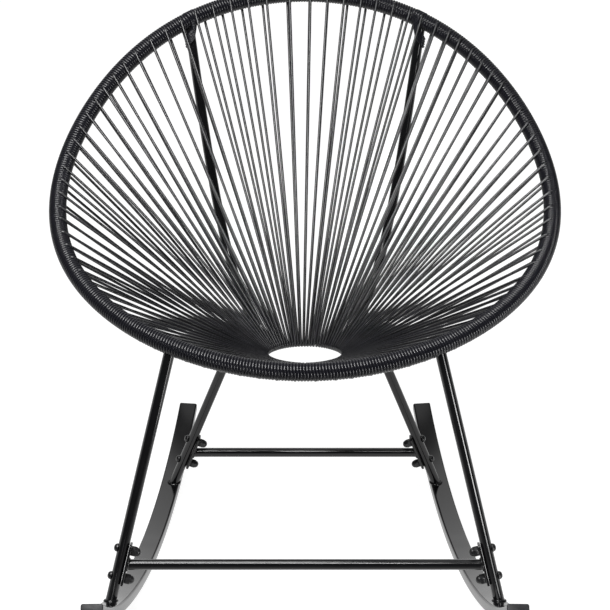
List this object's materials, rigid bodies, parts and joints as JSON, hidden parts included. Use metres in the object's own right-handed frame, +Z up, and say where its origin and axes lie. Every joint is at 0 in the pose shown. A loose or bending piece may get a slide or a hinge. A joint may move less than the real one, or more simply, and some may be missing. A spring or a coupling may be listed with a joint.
{
  "type": "rocking chair",
  "caption": "Rocking chair with a round hoop seat strung with plastic cord to a centre ring, on tube legs and two curved flat-tube rockers.",
  "frame": {"origin": "on the floor, midway between the rockers and midway along their length", "axes": "+Z up, -Y the way the sitter faces, +X to the sitter's left"},
  "size_m": [0.7601, 0.8377, 0.8426],
  "materials": {
    "frame_paint": "gloss black powder coat",
    "cord": "satin black round plastic cord",
    "end_cap": "dark grey moulded plastic",
    "fastener": "black coated bolts and dome nuts"
  },
  "bodies": {
    "root": {"seat_hoop_tube": "frame_paint", "hoop_wrap_01": "cord", "hoop_wrap_02": "cord", "hoop_wrap_03": "cord", "hoop_wrap_04": "cord", "hoop_wrap_05": "cord", "hoop_wrap_06": "cord", "centre_ring": "frame_paint", "seat_strings_01": "cord", "seat_strings_02": "cord", "seat_strings_03": "cord", "seat_strings_04": "cord", "seat_strings_05": "cord", "seat_strings_06": "cord", "seat_strings_07": "cord", "seat_strings_08": "cord", "seat_strings_09": "cord", "seat_strings_10": "cord", "seat_strings_11": "cord", "seat_strings_12": "cord", "back_stay_left": "frame_paint", "rocker_left": "frame_paint", "rocker_cap_front_left": "end_cap", "front_leg_left": "frame_paint", "stretcher_plate_front_left": "frame_paint", "bolt_front_left_lower": "fastener", "dome_nut_front_left_lower": "fastener", "bolt_front_left_upper": "fastener", "dome_nut_front_left_upper": "fastener", "rocker_cap_rear_left": "end_cap", "rear_leg_left": "frame_paint", "stretcher_plate_rear_left": "frame_paint", "bolt_rear_left_lower": "fastener", "dome_nut_rear_left_lower": "fastener", "bolt_rear_left_upper": "fastener", "dome_nut_rear_left_upper": "fastener", "back_stay_right": "frame_paint", "rocker_right": "frame_paint", "rocker_cap_front_right": "end_cap", "front_leg_right": "frame_paint", "stretcher_plate_front_right": "frame_paint", "bolt_front_right_lower": "fastener", "dome_nut_front_right_lower": "fastener", "bolt_front_right_upper": "fastener", "dome_nut_front_right_upper": "fastener", "rocker_cap_rear_right": "end_cap", "rear_leg_right": "frame_paint", "stretcher_plate_rear_right": "frame_paint", "bolt_rear_right_lower": "fastener", "dome_nut_rear_right_lower": "fastener", "bolt_rear_right_upper": "fastener", "dome_nut_rear_right_upper": "fastener", "front_stretcher": "frame_paint", "rear_stretcher": "frame_paint"}
  },
  "joints": []
}
